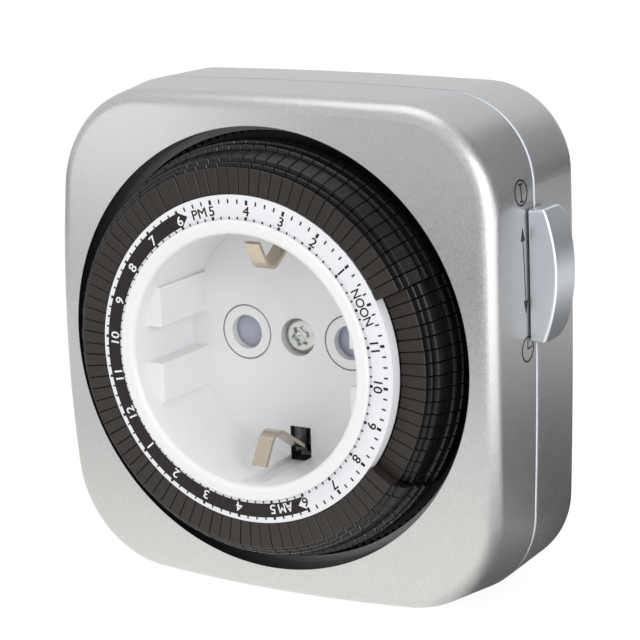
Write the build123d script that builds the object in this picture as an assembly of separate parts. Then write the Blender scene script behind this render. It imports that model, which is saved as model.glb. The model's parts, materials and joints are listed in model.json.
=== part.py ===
from build123d import *
from math import cos, pi, radians, sin, sqrt
import os

# Plug-in 24-hour timer switch. Millimetres.
# The origin is where the dial axis meets the rear face of the case.
# The front of the timer looks along -Y, +Z is up, and the plug points along +Y.

# Case
case_half_width = 39.7
case_half_height = 40.6
case_depth_at_rim = 31.3
case_wall = 1.8
face_wall = 2.0
back_wall = 2.0
parting_depth = 16.2
lip_thickness = 0.7
lip_setback = 0.12
corner_radius = 14.3
front_corner_radius = 18.5
parting_bow = 0.9
front_bow = 1.5
back_bow = 0.6
front_draft = 0.4
back_draft = 0.35
face_dome_radius = 250.0
face_edge_round = 3.0
face_edge_zone = 6.0
back_edge_round = 2.4

# Round recess in the front face
recess_radius = 35.5
recess_depth = 4.0
collar_wall = 1.3
ledge_width = 1.1
ledge_thickness = 1.2

# Socket well
well_radius = 19.9
well_wall = 1.7
well_depth = 17.5
well_floor = 1.5
lip_radius = 22.2
lip_rise = 1.0
lip_plate = 0.7
lip_inner_round = 0.9
lip_outer_round = 0.3
guide_rib_reach = 17.0
guide_rib_height = 6.4
guide_rib_pitch = 12.4
guide_rib_setback = 4.0
pin_pitch = 19.0
pin_hole_radius = 2.8
pin_ring_radius = 4.43
pin_ring_width = 0.25
pin_ring_sink = 0.2
screw_recess_radius = 3.1
screw_recess_depth = 1.0
earth_slot_width = 3.8
earth_slot_inner = 14.9
earth_slot_outer = 20.6
hub_radius = 3.6

# Dial
dial_proud = 6.2
scale_outer_radius = 25.95
scale_thickness = 1.2
scale_skirt_wall = 0.75
scale_skirt_depth = 2.2
scale_skirt_clearance = 0.1
scale_bore_clearance = 0.15
sleeve_outer_radius = 25.75
sleeve_wall = 1.6
dial_bore_clearance = 0.08
flange_setback = 11.8
flange_thickness = 2.0
guide_ring_wall = 1.2
guide_ring_height = 4.6
hours_on_dial = 24
segments_per_hour = 4
segment_inner_radius = 26.1
land_outer_radius = 30.1
step_width = 0.8
step_drop = 0.8
skirt_waist_radius = 32.9
skirt_waist_depth = 5.6
skirt_foot_radius = 33.5
skirt_depth = 8.4
skirt_wall = 1.2
segment_roof = 3.0
segment_gap_angle = 0.22
leg_inner_radius = 27.5
leg_outer_radius = 28.9
leg_end_setback = 0.1
leg_half_angle = 0.9
leg_clearance = 0.3
segment_travel = 2.4
window_rib_angle = 1.5
first_on_hour = 8
last_on_hour = 11
four_pm_hour = 16
four_pm_angle = 3.75

# Gear train
ring_module = 0.5
ring_teeth = 138
idler_pinion_teeth = 12
wheel_module = 0.4
idler_wheel_teeth = 30
motor_pinion_teeth = 10
gear_backlash = 0.10
mesh_clearance = 0.06
idler_direction = 235.0
motor_direction = 62.0
wheel_thickness = 1.5
wheel_gap = 3.25
pinion_overlap = 0.2
hub_end_gap = 0.3
idler_hub_radius = 1.9
idler_axle_radius = 0.8
axle_clearance = 0.06
axle_post_wall = 1.2
axle_seat_depth = 2.4
axle_setback = 0.2

# Motor
motor_radius = 11.5
motor_depth = 12.0
motor_edge_round = 0.8
motor_shaft_radius = 0.75
motor_shaft_hole_radius = 1.6
motor_ear_reach = 13.6
motor_ear_radius = 2.6
motor_ear_thickness = 1.0
motor_ear_direction = 135.0
motor_screw_radius = 1.0
motor_screw_head_radius = 1.9
motor_screw_head_height = 1.2

# Middle frame
frame_thickness = 1.9
frame_edge_clearance = 0.4
frame_pin_hole_radius = 3.3
centre_boss_radius = 2.9
centre_boss_length = 3.6

# Shutter
shutter_thickness = 1.4
shutter_gap = 0.3
shutter_ring_wall = 1.9
shutter_outer_radius = 13.2
shutter_inner_radius = 5.0
shutter_half_angle = 20.5
shutter_hub_clearance = 0.08
shutter_spring_thickness = 0.3
shutter_spring_reach = 10.0
shutter_spring_bow = 2.2
shutter_spring_lean = 3.0
shutter_spring_drop = 6.0

# Follower lever and snap switch
lever_z = 18.0
lever_width = 5.0
lever_thickness = 1.4
lever_pivot_x = 34.5
lever_nose_x = 20.8
lever_gap = 0.9
lever_axle_radius = 0.6
cheek_thickness = 0.9
cheek_half_width = 0.9
cheek_gap = 0.2
cheek_nose = 0.5
button_x = 28.0
button_radius = 1.1
button_gap = 0.15
button_window_clearance = 0.4
lever_spring_thickness = 0.25
lever_spring_width = 2.4
lever_spring_tip_x = 24.2
lever_spring_bend_x = 25.4
lever_spring_foot_x = 26.2
switch_left = 23.3
switch_width = 11.0
switch_bottom = 6.0
switch_height = 20.0
switch_depth = 6.4
switch_edge_round = 0.6
button_well_depth = 3.0
button_seat = 1.0
blade_width = 3.8
blade_thickness = 0.6
blade_margin = 0.3
inner_blade_length = 2.85
outer_blade_length = 5.35

# Side slider
slider_bottom = 2.6
slider_top = 23.4
slider_depth = 7.3
slider_front_y = -19.0
slider_corner = 2.8
slider_rise = 4.5
slider_end_rise = 2.5
slider_end_slope = 0.4
slider_foot_gap = 0.25
slider_round = 0.45
slider_travel = 3.0
stem_height = 10.0
stem_depth = 3.0
stem_middle_y = -13.2
stem_clearance = 0.25
guide_plate_thickness = 1.1
guide_plate_margin = 2.6
guide_plate_inset = 1.1
guide_plate_front = 0.6
guide_plate_rear = 1.2
finger_width = 1.3
finger_height = 3.0
finger_margin = 1.0
hook_reach = 5.2
hook_thickness = 1.5
nub_width = 2.6
nub_height = 0.5
nub_gap = 0.2
notch_clearance = 0.3
slider_spring_thickness = 0.25
slider_spring_gap = 0.25
slider_spring_reach = 5.0

# Plug on the back
plug_radius = 19.3
plug_length = 17.0
plug_end_wall = 2.0
plug_edge_round = 0.8
plug_cavity_half_width = 14.4
plug_cavity_half_height = 9.0
plug_groove_clearance = 0.4
pin_radius = 2.4
pin_length = 19.0
pin_head_radius = 3.4
pin_head_thickness = 1.5
pin_tip_round = 1.6
pin_root_radius = 2.2
pin_root_proud = 0.3
fit_clearance = 0.05

# Metal strips
strip_thickness = 0.5
contact_width = 4.0
contact_clearance = 0.1
contact_length = 10.0
contact_front_gap = 0.5
link_drop = 1.6
link_width = 4.0
link_bend_radius = 1.0
earth_thickness = 0.6
earth_width = 2.6
plug_earth_width = 4.2
earth_hole_ring = 1.9
earth_bend_radius = 0.35
earth_tip_depth = 3.6
earth_tip_z = 17.9
earth_crown_depth = 7.0
earth_crown_z = 12.4
earth_crown_radius = 2.6
earth_root_rise = 0.9
earth_root_radius = 1.5
plug_earth_sink = 0.7
plug_earth_setback = 1.2
earth_post_z = 12.0
earth_post_radius = 1.5
earth_slot_clearance = 0.3

# Screws and leads
case_screw_inset = 9.9
case_screw_radius = 1.4
case_screw_hole_radius = 1.6
case_screw_head_radius = 2.6
case_screw_head_height = 2.0
case_screw_head_gap = 0.2
case_screw_recess = 6.0
case_screw_bite = 7.0
case_boss_radius = 3.4
centre_screw_radius = 1.5
centre_head_radius = 2.7
centre_head_height = 1.5
centre_head_round = 0.4
centre_hole_radius = 1.65
lead_radius = 0.6
lead_bend_radius = 2.0
neutral_lead_drop = 1.0
live_lead_turn_x = 8.0
live_lead_x = 18.0
live_lead_gap = 0.15

# Planes along Y that several pieces share
rim_y = -case_depth_at_rim
scale_y = rim_y - dial_proud
front_parting_y = -parting_depth - lip_thickness / 2
rear_parting_y = -parting_depth + lip_thickness / 2
frame_rear_y = rear_parting_y
frame_front_y = frame_rear_y - frame_thickness
lip_front_y = scale_y - lip_rise
floor_front_y = lip_front_y + well_depth
floor_rear_y = floor_front_y + well_floor
ledge_front_y = rim_y + recess_depth
ledge_rear_y = ledge_front_y + ledge_thickness
flange_front_y = scale_y + flange_setback
flange_rear_y = flange_front_y + flange_thickness
wheel_front_y = flange_rear_y + wheel_gap
wheel_rear_y = wheel_front_y + wheel_thickness
lever_front_y = flange_rear_y + segment_travel - leg_end_setback + lever_gap
lever_rear_y = lever_front_y + lever_thickness
lever_middle_y = (lever_front_y + lever_rear_y) / 2
plug_floor_y = plug_length - plug_end_wall
pin_head_front_y = plug_floor_y - pin_head_thickness
switch_rear_y = frame_rear_y + switch_depth
motor_rear_y = frame_rear_y + motor_depth

# Radii and axes that several pieces share
well_outer_radius = well_radius + well_wall
dial_bore_radius = well_outer_radius + dial_bore_clearance
guide_ring_inner = leg_outer_radius + leg_clearance
guide_ring_outer = guide_ring_inner + guide_ring_wall
ring_pitch_radius = ring_module * ring_teeth / 2
idler_pinion_radius = ring_module * idler_pinion_teeth / 2
idler_wheel_radius = wheel_module * idler_wheel_teeth / 2
motor_pinion_radius = wheel_module * motor_pinion_teeth / 2
idler_distance = ring_pitch_radius + idler_pinion_radius + mesh_clearance
motor_distance = idler_wheel_radius + motor_pinion_radius + mesh_clearance
idler_x = idler_distance * cos(radians(idler_direction))
idler_z = idler_distance * sin(radians(idler_direction))
motor_x = idler_x + motor_distance * cos(radians(motor_direction))
motor_z = idler_z + motor_distance * sin(radians(motor_direction))
motor_ear_places = [
    (
        motor_x + side * motor_ear_reach * cos(radians(motor_ear_direction)),
        motor_z + side * motor_ear_reach * sin(radians(motor_ear_direction)),
    )
    for side in (-1, 1)
]
case_screw_x = case_half_width - corner_radius - parting_bow + case_screw_inset * cos(pi / 4)
case_screw_z = case_half_height - corner_radius - parting_bow + case_screw_inset * sin(pi / 4)
case_screw_places = [(sx * case_screw_x, sz * case_screw_z) for sx in (-1, 1) for sz in (-1, 1)]
pin_places = [-pin_pitch / 2, pin_pitch / 2]
inner_half_width = case_half_width - case_wall
lever_bottom = lever_z - lever_width / 2
lever_top = lever_z + lever_width / 2
switch_right = switch_left + switch_width
inner_blade_x = switch_left + blade_width / 2 + blade_margin
outer_blade_x = switch_right - blade_width / 2 - blade_margin
inner_blade_z = switch_bottom + switch_height - blade_width
outer_blade_z = switch_bottom + blade_width
slider_middle = (slider_bottom + slider_top) / 2
stem_bottom = slider_middle - stem_height / 2
stem_top = slider_middle + stem_height / 2
stem_front_y = stem_middle_y - stem_depth / 2
stem_rear_y = stem_front_y + stem_depth
guide_plate_outer_x = inner_half_width - guide_plate_inset
guide_plate_inner_x = guide_plate_outer_x - guide_plate_thickness
finger_bottom = lever_bottom - nub_height - slider_travel - finger_margin
finger_top = finger_bottom + finger_height
contact_leaf_x = pin_radius + contact_clearance
contact_floor_z = -pin_radius - contact_clearance - 2 * strip_thickness
contact_front_y = frame_rear_y + contact_front_gap
contact_rear_y = contact_front_y + contact_length
earth_strap_z = (earth_slot_inner + earth_slot_outer) / 2
earth_strap_y = frame_rear_y + earth_thickness / 2
plug_earth_z = plug_radius - plug_earth_sink - earth_thickness / 2
plug_earth_y = -back_wall - earth_thickness / 2


# Helpers

def at_depth(sketch, front_y, back_y):
    # Extrude a sketch, drawn with X right and Z up, between two depths.
    plane = Plane(origin=(0, back_y, 0), x_dir=(1, 0, 0), z_dir=(0, -1, 0))
    return extrude(plane * sketch, amount=back_y - front_y)


def on_depth(sketch, y):
    # Place a sketch, drawn with X right and Z up, at a depth.
    return Plane(origin=(0, y, 0), x_dir=(1, 0, 0), z_dir=(0, -1, 0)) * sketch


def disc(radius, front_y, back_y, x=0.0, z=0.0):
    return at_depth(Pos(x, z) * Circle(radius), front_y, back_y)


def tube(outer, inner, front_y, back_y, x=0.0, z=0.0):
    ring = Circle(outer) - Circle(inner)
    return at_depth(Pos(x, z) * ring, front_y, back_y)


def block(x_range, y_range, z_range):
    ranges = (x_range, y_range, z_range)
    size = [high - low for low, high in ranges]
    middle = [(high + low) / 2 for low, high in ranges]
    return Pos(*middle) * Box(*size)


def sector(outer, inner, middle_angle, half_angle, front_y, back_y):
    # Part of a ring; angles run from +X towards +Z.
    reach = 2 * outer
    corners = [
        (0, 0),
        (reach * cos(radians(-half_angle)), reach * sin(radians(-half_angle))),
        (reach * cos(radians(half_angle)), reach * sin(radians(half_angle))),
    ]
    wedge = make_face(Polyline(*corners, close=True))
    ring = Circle(outer) - Circle(inner)
    return at_depth(Rot(0, 0, middle_angle) * (ring & wedge), front_y, back_y)


def bent_strip(points, radii, thickness, low_x, high_x):
    # Strip of even thickness that follows (y, z) points, between two X values.
    path = FilletPolyline(*points, radius=radii)
    profile = trace(path, line_width=thickness)
    return Pos(low_x, 0, 0) * extrude(Plane.YZ * profile, amount=high_x - low_x)


def outline(half_width, half_height, bow, radius):
    # Square outline with bowed sides and round corners, widest at mid-side.
    w = half_width - bow
    h = half_height - bow
    sides = [
        ThreePointArc((-w, -h), (0, -half_height), (w, -h)),
        ThreePointArc((w, -h), (half_width, 0), (w, h)),
        ThreePointArc((w, h), (0, half_height), (-w, h)),
        ThreePointArc((-w, h), (-half_width, 0), (-w, -h)),
    ]
    face = make_face(sides)
    return fillet(face.vertices(), radius)


def parting_outline(inset=0.0):
    return outline(case_half_width - inset, case_half_height - inset, parting_bow, corner_radius - inset)


def front_outline(inset=0.0):
    reach = front_draft + inset
    return outline(case_half_width - reach, case_half_height - reach, front_bow, front_corner_radius - inset)


def back_outline(inset=0.0):
    reach = back_draft + inset
    return outline(case_half_width - reach, case_half_height - reach, back_bow, corner_radius - reach)


def gear_sketch(module, teeth, phase):
    # Spur gear; phase is the direction of the middle of one tooth, in degrees.
    pitch_radius = module * teeth / 2
    half_pitch = pi * module / 4 - gear_backlash / 2
    flank = [
        (pitch_radius - 1.10 * module, half_pitch + 0.26 * module),
        (pitch_radius, half_pitch),
        (pitch_radius + 0.75 * module, half_pitch - 0.40 * module),
    ]
    points = []
    for tooth in range(teeth):
        middle = radians(phase) + 2 * pi * tooth / teeth
        rising = [(radius, middle - half / radius) for radius, half in flank]
        falling = [(radius, middle + half / radius) for radius, half in reversed(flank)]
        points += [(radius * cos(angle), radius * sin(angle)) for radius, angle in rising + falling]
    return make_face(Polyline(*points, close=True))


# Case

def front_housing():
    skin = loft([on_depth(parting_outline(), front_parting_y), on_depth(front_outline(), rim_y - face_wall)])
    dome_middle_y = rim_y + sqrt(face_dome_radius**2 - recess_radius**2)
    skin = skin & (Pos(0, dome_middle_y, 0) * Sphere(face_dome_radius))
    face_edges = skin.edges().filter_by_position(Axis.Y, rim_y - face_wall, rim_y + face_edge_zone)
    skin = fillet(face_edges, face_edge_round)
    hollow = loft([
        on_depth(parting_outline(case_wall), front_parting_y),
        on_depth(front_outline(case_wall), rim_y - face_wall),
    ])
    hollow = hollow & (Pos(0, dome_middle_y, 0) * Sphere(face_dome_radius - face_wall))
    shell = skin - hollow
    shell += tube(recess_radius + collar_wall, recess_radius, rim_y + face_wall / 2, ledge_rear_y)
    for x, z in case_screw_places:
        shell += disc(case_boss_radius, rim_y, frame_front_y, x, z) & skin
    post_radius = idler_axle_radius + axle_post_wall
    shell += disc(post_radius, rim_y + face_wall / 2, ledge_rear_y, idler_x, idler_z)
    shell -= disc(recess_radius, rim_y - face_wall, ledge_rear_y + face_wall)
    ledge_inner = recess_radius - ledge_width
    shell += tube(recess_radius + collar_wall / 2, ledge_inner, ledge_front_y, ledge_rear_y)
    for x, z in case_screw_places:
        bore_front_y = frame_front_y - case_screw_bite - 1
        shell -= disc(case_screw_radius + fit_clearance, bore_front_y, frame_front_y, x, z)
    axle_bore = idler_axle_radius + fit_clearance
    shell -= disc(axle_bore, ledge_rear_y - axle_seat_depth - axle_setback, ledge_rear_y, idler_x, idler_z)
    return shell


def plug_body():
    body = disc(plug_radius, -back_wall, plug_length)
    body = fillet(body.edges().group_by(Axis.Y)[-1], plug_edge_round)
    rib_start = guide_rib_reach - plug_groove_clearance
    half_height = guide_rib_height / 2 + plug_groove_clearance
    for side in (-1, 1):
        for middle in (-guide_rib_pitch / 2, guide_rib_pitch / 2):
            x_range = sorted((side * rib_start, side * (plug_radius + 1)))
            z_range = (middle - half_height, middle + half_height)
            body -= block(x_range, (0, plug_length + 1), z_range)
    return body


def rear_housing():
    skin = loft([on_depth(parting_outline(), rear_parting_y), on_depth(back_outline(), 0)])
    skin = fillet(skin.edges().group_by(Axis.Y)[-1], back_edge_round)
    hollow = loft([
        on_depth(parting_outline(case_wall), rear_parting_y),
        on_depth(back_outline(case_wall), -back_wall),
    ])
    shell = skin - hollow + plug_body()
    shell -= block(
        (-plug_cavity_half_width, plug_cavity_half_width),
        (-back_wall - 1, plug_floor_y),
        (-plug_cavity_half_height, plug_cavity_half_height),
    )
    for x, z in case_screw_places:
        shell += disc(case_boss_radius, rear_parting_y, -back_wall / 2, x, z) & skin
        shell -= disc(case_screw_hole_radius, rear_parting_y - 1, 1, x, z)
        shell -= disc(case_screw_head_radius + case_screw_head_gap, -case_screw_recess, 1, x, z)
    for x in pin_places:
        shell -= disc(pin_radius + fit_clearance, plug_floor_y - 1, plug_length + 1, x)
    half_groove = plug_earth_width / 2 + earth_slot_clearance
    groove_floor = plug_earth_z - earth_thickness / 2 - fit_clearance
    for side in (-1, 1):
        z_range = sorted((side * groove_floor, side * (plug_radius + 1)))
        shell -= block((-half_groove, half_groove), (0, plug_length - plug_edge_round), z_range)
        slot_outer = plug_earth_z + earth_thickness / 2 + earth_slot_clearance
        z_range = sorted((side * groove_floor, side * slot_outer))
        shell -= block((-half_groove, half_groove), (-back_wall - 1, 1), z_range)
    slot_x = (guide_plate_outer_x - 1, case_half_width + 1)
    slot_y = (stem_front_y - stem_clearance, stem_rear_y + stem_clearance)
    slot_z = (stem_bottom - stem_clearance, stem_top + slider_travel + stem_clearance)
    return shell - block(slot_x, slot_y, slot_z)


def middle_frame():
    plate = at_depth(parting_outline(case_wall + frame_edge_clearance), frame_front_y, frame_rear_y)
    plate += at_depth(parting_outline(lip_setback), front_parting_y, rear_parting_y)
    plate += disc(centre_boss_radius, frame_rear_y, frame_rear_y + centre_boss_length)
    plate -= disc(centre_screw_radius + fit_clearance, frame_front_y - 1, frame_rear_y + centre_boss_length + 1)
    for x in pin_places:
        plate -= disc(frame_pin_hole_radius, frame_front_y - 1, frame_rear_y + 1, x)
    for x, z in case_screw_places:
        plate -= disc(case_screw_hole_radius, frame_front_y - 1, frame_rear_y + 1, x, z)
    half_slot = earth_slot_width / 2
    for side in (-1, 1):
        z_range = sorted((side * earth_slot_inner, side * earth_slot_outer))
        plate -= block((-half_slot, half_slot), (frame_front_y - 1, frame_rear_y + 1), z_range)
    plate -= disc(idler_axle_radius + fit_clearance, frame_front_y - 1, frame_rear_y + 1, idler_x, idler_z)
    plate -= disc(motor_shaft_hole_radius, frame_front_y - 1, frame_rear_y + 1, motor_x, motor_z)
    for x, z in motor_ear_places:
        plate -= disc(motor_screw_radius + fit_clearance, frame_front_y - 1, frame_rear_y + 1, x, z)
    window = button_radius + button_window_clearance
    plate -= disc(window, frame_front_y - 1, frame_rear_y + 1, button_x, lever_z)
    notch_x = (guide_plate_inner_x - notch_clearance, inner_half_width)
    notch_z = (finger_bottom - notch_clearance, finger_top + slider_travel + notch_clearance)
    plate -= block(notch_x, (frame_front_y - 1, frame_rear_y + 1), notch_z)
    return plate + lever_cheeks()


def lever_cheeks():
    cheeks = []
    cheek_front_y = lever_middle_y - lever_axle_radius - cheek_nose
    x_range = (lever_pivot_x - cheek_half_width, lever_pivot_x + cheek_half_width)
    for start in (lever_bottom - cheek_gap - cheek_thickness, lever_top + cheek_gap):
        cheeks.append(block(x_range, (cheek_front_y, frame_front_y), (start, start + cheek_thickness)))
    bore = lever_bar_axis(lever_axle_radius + fit_clearance, lever_bottom - 3, lever_top + 3)
    return cheeks[0] + cheeks[1] - bore


def lever_bar_axis(radius, low_z, high_z):
    # Round bar along Z on the lever's pivot.
    return Pos(lever_pivot_x, lever_middle_y, (low_z + high_z) / 2) * Cylinder(radius, high_z - low_z)


# Socket

def socket_insert():
    well = disc(lip_radius, lip_front_y, lip_front_y + lip_plate)
    well = fillet(well.edges().group_by(Axis.Y)[0], lip_outer_round)
    well += disc(well_outer_radius, lip_front_y + lip_plate, frame_front_y)
    bore = disc(well_radius, lip_front_y - 1, floor_front_y)
    well -= bore
    rim_edges = well.edges().filter_by(GeomType.CIRCLE).group_by(Axis.Y)[0]
    well = fillet(rim_edges.sort_by(SortBy.RADIUS)[0], lip_inner_round)
    well -= disc(well_radius, floor_rear_y, frame_front_y)
    well += tube(hub_radius, centre_hole_radius, floor_rear_y, frame_front_y)
    rib_front_y = lip_front_y + guide_rib_setback
    for side in (-1, 1):
        for middle in (-guide_rib_pitch / 2, guide_rib_pitch / 2):
            x_range = sorted((side * guide_rib_reach, side * (well_radius + well_wall / 2)))
            z_range = (middle - guide_rib_height / 2, middle + guide_rib_height / 2)
            rib = block(x_range, (rib_front_y, floor_front_y), z_range)
            well += rib & disc(well_radius + well_wall / 2, rib_front_y, floor_front_y)
    for x in pin_places:
        well -= disc(pin_hole_radius, floor_front_y - 1, floor_rear_y + 1, x)
        ring_outer = pin_ring_radius + pin_ring_width / 2
        ring_inner = pin_ring_radius - pin_ring_width / 2
        well -= tube(ring_outer, ring_inner, floor_front_y, floor_front_y + pin_ring_sink, x)
    well -= disc(screw_recess_radius, floor_front_y - 1, floor_front_y + screw_recess_depth + centre_head_height)
    well -= disc(centre_hole_radius, floor_front_y - 1, frame_front_y + 1)
    groove_front_y = lip_front_y + lip_inner_round + 1
    for side in (-1, 1):
        z_range = sorted((side * (well_radius - well_wall), side * earth_slot_outer))
        well -= block((-earth_slot_width / 2, earth_slot_width / 2), (groove_front_y, frame_front_y + 1), z_range)
        z_range = sorted((side * earth_slot_inner, side * earth_slot_outer))
        well -= block((-earth_slot_width / 2, earth_slot_width / 2), (floor_front_y, frame_front_y + 1), z_range)
    return well


def centre_screw():
    head_front_y = floor_front_y + screw_recess_depth
    head_rear_y = head_front_y + centre_head_height
    shank = disc(centre_screw_radius, head_rear_y, frame_rear_y + centre_boss_length)
    head = disc(centre_head_radius, head_front_y, head_rear_y)
    head = fillet(head.edges().group_by(Axis.Y)[0], centre_head_round)
    return head + shank


def pin_shutter():
    front_y = floor_rear_y + shutter_gap
    rear_y = front_y + shutter_thickness
    bore = hub_radius + shutter_hub_clearance
    plate = tube(bore + shutter_ring_wall, bore, front_y, rear_y)
    for direction in (0, 180):
        plate += sector(
            shutter_outer_radius, shutter_inner_radius, direction, shutter_half_angle, front_y, rear_y
        )
    return plate


def shutter_spring():
    # Leaf that stands on the frame and rests on the lower edge of the left paddle.
    front_y = floor_rear_y + shutter_gap
    angle = radians(180 + shutter_half_angle)
    tip_x = shutter_spring_reach * cos(angle)
    tip_z = shutter_spring_reach * sin(angle) - shutter_spring_thickness
    middle = (tip_x + shutter_spring_bow, tip_z - shutter_spring_bow)
    end = (tip_x + shutter_spring_lean, tip_z - shutter_spring_drop)
    path = ThreePointArc((tip_x, tip_z), middle, end)
    leaf = trace(path, line_width=shutter_spring_thickness)
    return at_depth(leaf, front_y, frame_front_y)


def earth_arm_points(side):
    # Tip, crown and root of one sprung arm, as (y, z); the crown is rounded by a wide bend.
    return [
        (scale_y + earth_tip_depth, side * earth_tip_z),
        (scale_y + earth_crown_depth, side * earth_crown_z),
        (floor_front_y - earth_root_rise, side * earth_strap_z),
        (earth_strap_y, side * earth_strap_z),
    ]


def socket_earth_clip():
    points = earth_arm_points(1) + list(reversed(earth_arm_points(-1)))
    bends = [earth_crown_radius, earth_root_radius, earth_bend_radius]
    radii = bends + list(reversed(bends))
    strip = bent_strip(points, radii, earth_thickness, -earth_width / 2, earth_width / 2)
    strap_front_y = earth_strap_y - earth_thickness / 2
    strap_rear_y = earth_strap_y + earth_thickness / 2
    hole = centre_boss_radius + fit_clearance
    strip += disc(hole + earth_hole_ring, strap_front_y, strap_rear_y)
    return strip - disc(hole, strap_front_y - 1, strap_rear_y + 1)


def contact_channel(x):
    # Open channel that grips one inserted pin.
    half = contact_leaf_x + strip_thickness
    channel = block(
        (x - half, x + half),
        (contact_front_y, contact_rear_y),
        (contact_floor_z, contact_width / 2),
    )
    hollow = block(
        (x - contact_leaf_x, x + contact_leaf_x),
        (contact_front_y - 1, contact_rear_y + 1),
        (contact_floor_z + strip_thickness, contact_width),
    )
    return channel - hollow


def neutral_contact():
    x = pin_places[0]
    floor_middle = contact_floor_z + strip_thickness / 2
    points = [
        (contact_rear_y - 1, floor_middle),
        (pin_head_front_y - strip_thickness / 2, floor_middle),
        (pin_head_front_y - strip_thickness / 2, pin_radius),
    ]
    strip = bent_strip(points, [link_bend_radius], strip_thickness, x - contact_width / 2, x + contact_width / 2)
    return contact_channel(x) + strip


def live_contact():
    x = pin_places[1]
    rear_y = switch_rear_y + inner_blade_length
    plate_y = (rear_y, rear_y + strip_thickness)
    foot = block(
        (x - contact_leaf_x, inner_blade_x + blade_width / 2),
        plate_y,
        (contact_floor_z, contact_floor_z + link_width),
    )
    riser = block(
        (inner_blade_x - blade_width / 2, inner_blade_x + blade_width / 2),
        plate_y,
        (contact_floor_z, inner_blade_z + blade_width / 2),
    )
    root = block(
        (x - contact_leaf_x, x + contact_leaf_x),
        (contact_rear_y - 1, rear_y + strip_thickness),
        (contact_floor_z, contact_floor_z + strip_thickness),
    )
    window = block(
        (x - pin_radius - contact_clearance, x + pin_radius + contact_clearance),
        (rear_y - 1, rear_y + 1),
        (contact_floor_z + strip_thickness, contact_floor_z + link_width + 1),
    )
    return contact_channel(x) + (foot + riser - window) + root


def live_link():
    x = pin_places[1]
    front_y = switch_rear_y + outer_blade_length
    plate_y = (front_y, front_y + strip_thickness)
    low_z = contact_floor_z - link_drop
    end_y = pin_head_front_y - strip_thickness / 2
    floor_middle = contact_floor_z + strip_thickness / 2
    points = [(front_y, floor_middle), (end_y, floor_middle), (end_y, pin_radius)]
    strip = bent_strip(points, [link_bend_radius], strip_thickness, x - contact_width / 2, x + contact_width / 2)
    foot = block(
        (x - contact_width / 2, outer_blade_x + blade_width / 2),
        plate_y,
        (low_z, contact_floor_z + strip_thickness),
    )
    riser = block(
        (outer_blade_x - blade_width / 2, outer_blade_x + blade_width / 2),
        plate_y,
        (low_z, outer_blade_z + blade_width / 2),
    )
    return strip + foot + riser


def plug_pins():
    pins = []
    for x in pin_places:
        shank = disc(pin_radius, plug_length + pin_root_proud, plug_length + pin_length, x)
        shank = fillet(shank.edges().group_by(Axis.Y)[-1], pin_tip_round)
        shank += disc(pin_root_radius, plug_floor_y, plug_length + pin_root_proud, x)
        pins.append(shank + disc(pin_head_radius, pin_head_front_y, plug_floor_y, x))
    return Compound(children=pins)


def plug_earth_clip():
    arm_end = plug_length - plug_edge_round - plug_earth_setback
    points = [
        (arm_end, plug_earth_z),
        (plug_earth_y, plug_earth_z),
        (plug_earth_y, -plug_earth_z),
        (arm_end, -plug_earth_z),
    ]
    radii = [earth_bend_radius, earth_bend_radius]
    return bent_strip(points, radii, earth_thickness, -plug_earth_width / 2, plug_earth_width / 2)


def earth_post():
    front_y = earth_strap_y + earth_thickness / 2
    rear_y = plug_earth_y - earth_thickness / 2
    return disc(earth_post_radius, front_y, rear_y, 0, -earth_post_z)


# Dial

def time_scale_ring():
    inner = well_outer_radius + scale_bore_clearance
    ring = tube(scale_outer_radius, inner, scale_y, scale_y + scale_thickness)
    skirt_inner = scale_outer_radius - scale_skirt_wall
    ring += tube(scale_outer_radius, skirt_inner, scale_y, scale_y + scale_skirt_depth)
    return ring


def segment_carrier():
    top_y = scale_y + scale_thickness
    shoulder_y = scale_y + scale_skirt_depth + scale_skirt_clearance
    drum = disc(sleeve_outer_radius, shoulder_y, flange_rear_y)
    drum += disc(scale_outer_radius - scale_skirt_wall - scale_skirt_clearance, top_y, shoulder_y)
    drum += at_depth(gear_sketch(ring_module, ring_teeth, idler_direction), flange_front_y, flange_rear_y)
    drum += tube(guide_ring_outer, guide_ring_inner, flange_front_y - guide_ring_height, flange_front_y)
    drum -= disc(dial_bore_radius, top_y - 1, flange_rear_y + 1)
    groove_inner = dial_bore_radius + sleeve_wall
    groove_outer = sleeve_outer_radius - sleeve_wall
    drum -= tube(groove_outer, groove_inner, top_y + sleeve_wall, flange_rear_y + 1)
    hour_angle = 360 / hours_on_dial
    for hour in range(hours_on_dial):
        drum -= sector(
            leg_outer_radius + leg_clearance,
            leg_inner_radius - leg_clearance,
            hour_middle_angle(hour),
            (hour_angle - window_rib_angle) / 2,
            flange_front_y,
            flange_rear_y + 1,
        )
    return drum


def hour_middle_angle(hour):
    # Direction of the middle of an hour on the dial, from +X towards +Z.
    clockwise_from_top = four_pm_angle + (four_pm_hour - hour - 0.5) * 360 / hours_on_dial
    return 90 - clockwise_from_top


def segment_profile(roof_y):
    # Half section of a segment, as (radius, depth) points.
    step_one = land_outer_radius
    step_two = step_one + step_width
    step_three = step_two + step_width
    return [
        (segment_inner_radius, roof_y),
        (step_one, roof_y),
        (step_one, roof_y + step_drop),
        (step_two, roof_y + step_drop),
        (step_two, roof_y + 2 * step_drop),
        (step_three, roof_y + 2 * step_drop),
        (skirt_waist_radius, roof_y + skirt_waist_depth),
        (skirt_foot_radius, roof_y + skirt_depth),
        (skirt_foot_radius - skirt_wall, roof_y + skirt_depth),
        (step_three - skirt_wall / 2, roof_y + segment_roof),
        (leg_outer_radius, roof_y + segment_roof),
        (leg_outer_radius, roof_y + flange_setback + flange_thickness - leg_end_setback),
        (leg_inner_radius, roof_y + flange_setback + flange_thickness - leg_end_setback),
        (leg_inner_radius, roof_y + skirt_depth),
        (segment_inner_radius, roof_y + skirt_depth),
    ]


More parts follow.
